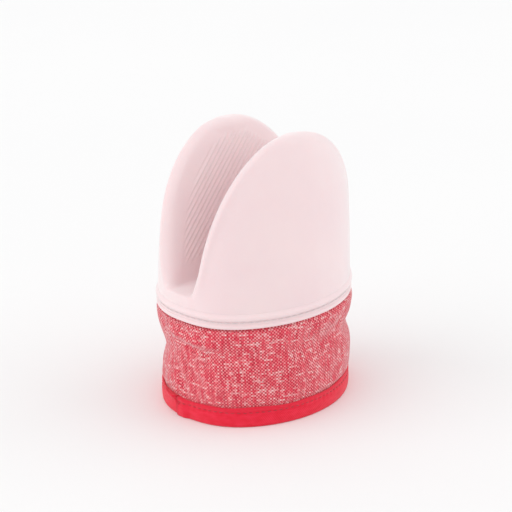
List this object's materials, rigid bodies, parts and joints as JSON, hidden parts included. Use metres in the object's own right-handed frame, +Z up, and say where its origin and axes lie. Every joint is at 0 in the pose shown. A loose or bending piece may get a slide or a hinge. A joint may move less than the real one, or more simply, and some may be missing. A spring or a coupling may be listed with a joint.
{
  "type": "oven mitt",
  "caption": "Small pinch-style oven mitt: hollow silicone finger and thumb lobes on a beaded rim, with a padded cloth cuff and bound hem to stand on.",
  "frame": {"origin": "middle of the hem, on the surface that the mitt stands on", "axes": "+Z up from the hem to the lobe tips; +X along the slot between the lobes; the finger lobe is at -Y and the thumb lobe at +Y; the cuff's side seam is at -X"},
  "size_m": [0.096, 0.0776, 0.1198],
  "materials": {
    "silicone": "matte, slightly translucent moulded silicone",
    "cuff_cloth": "plain-woven red and white slub chambray",
    "binding": "bright red twill tape",
    "lining": "plain cotton lining",
    "wadding": "soft polyester wadding",
    "red_thread": "spun polyester thread",
    "pink_thread": "spun polyester thread"
  },
  "bodies": {
    "cuff": {"silicone_rim": "silicone", "saddle_lining": "lining", "cuff_cloth": "cuff_cloth", "cuff_wadding_back": "wadding", "cuff_wadding_front": "wadding", "cuff_lining": "lining", "cuff_seam_allowance": "cuff_cloth", "lining_seam_allowance": "lining", "hem_binding": "binding", "binding_topstitch_outer": "red_thread", "binding_topstitch_inner": "red_thread", "binding_joint_stitch": "red_thread", "rim_seam_outer": "pink_thread", "rim_seam_inner": "pink_thread"},
    "finger_lobe": {"finger_lobe_shell": "silicone", "finger_pocket_wadding": "wadding", "finger_pocket_lining": "lining"},
    "thumb_lobe": {"thumb_lobe_shell": "silicone", "thumb_pocket_wadding": "wadding", "thumb_pocket_lining": "lining"}
  },
  "joints": [
    {"name": "finger_pinch", "type": "hinge", "parent": "cuff", "child": "finger_lobe", "pos_m": [0, -0.00519, 0.05475], "axis": [-1, 0, 0], "range_deg": [-4, 13.3], "stiffness_Nm_per_rad": 0.15},
    {"name": "thumb_pinch", "type": "hinge", "parent": "cuff", "child": "thumb_lobe", "pos_m": [0, 0.00519, 0.05475], "axis": [1, 0, 0], "range_deg": [-4, 13.3], "stiffness_Nm_per_rad": 0.15}
  ]
}
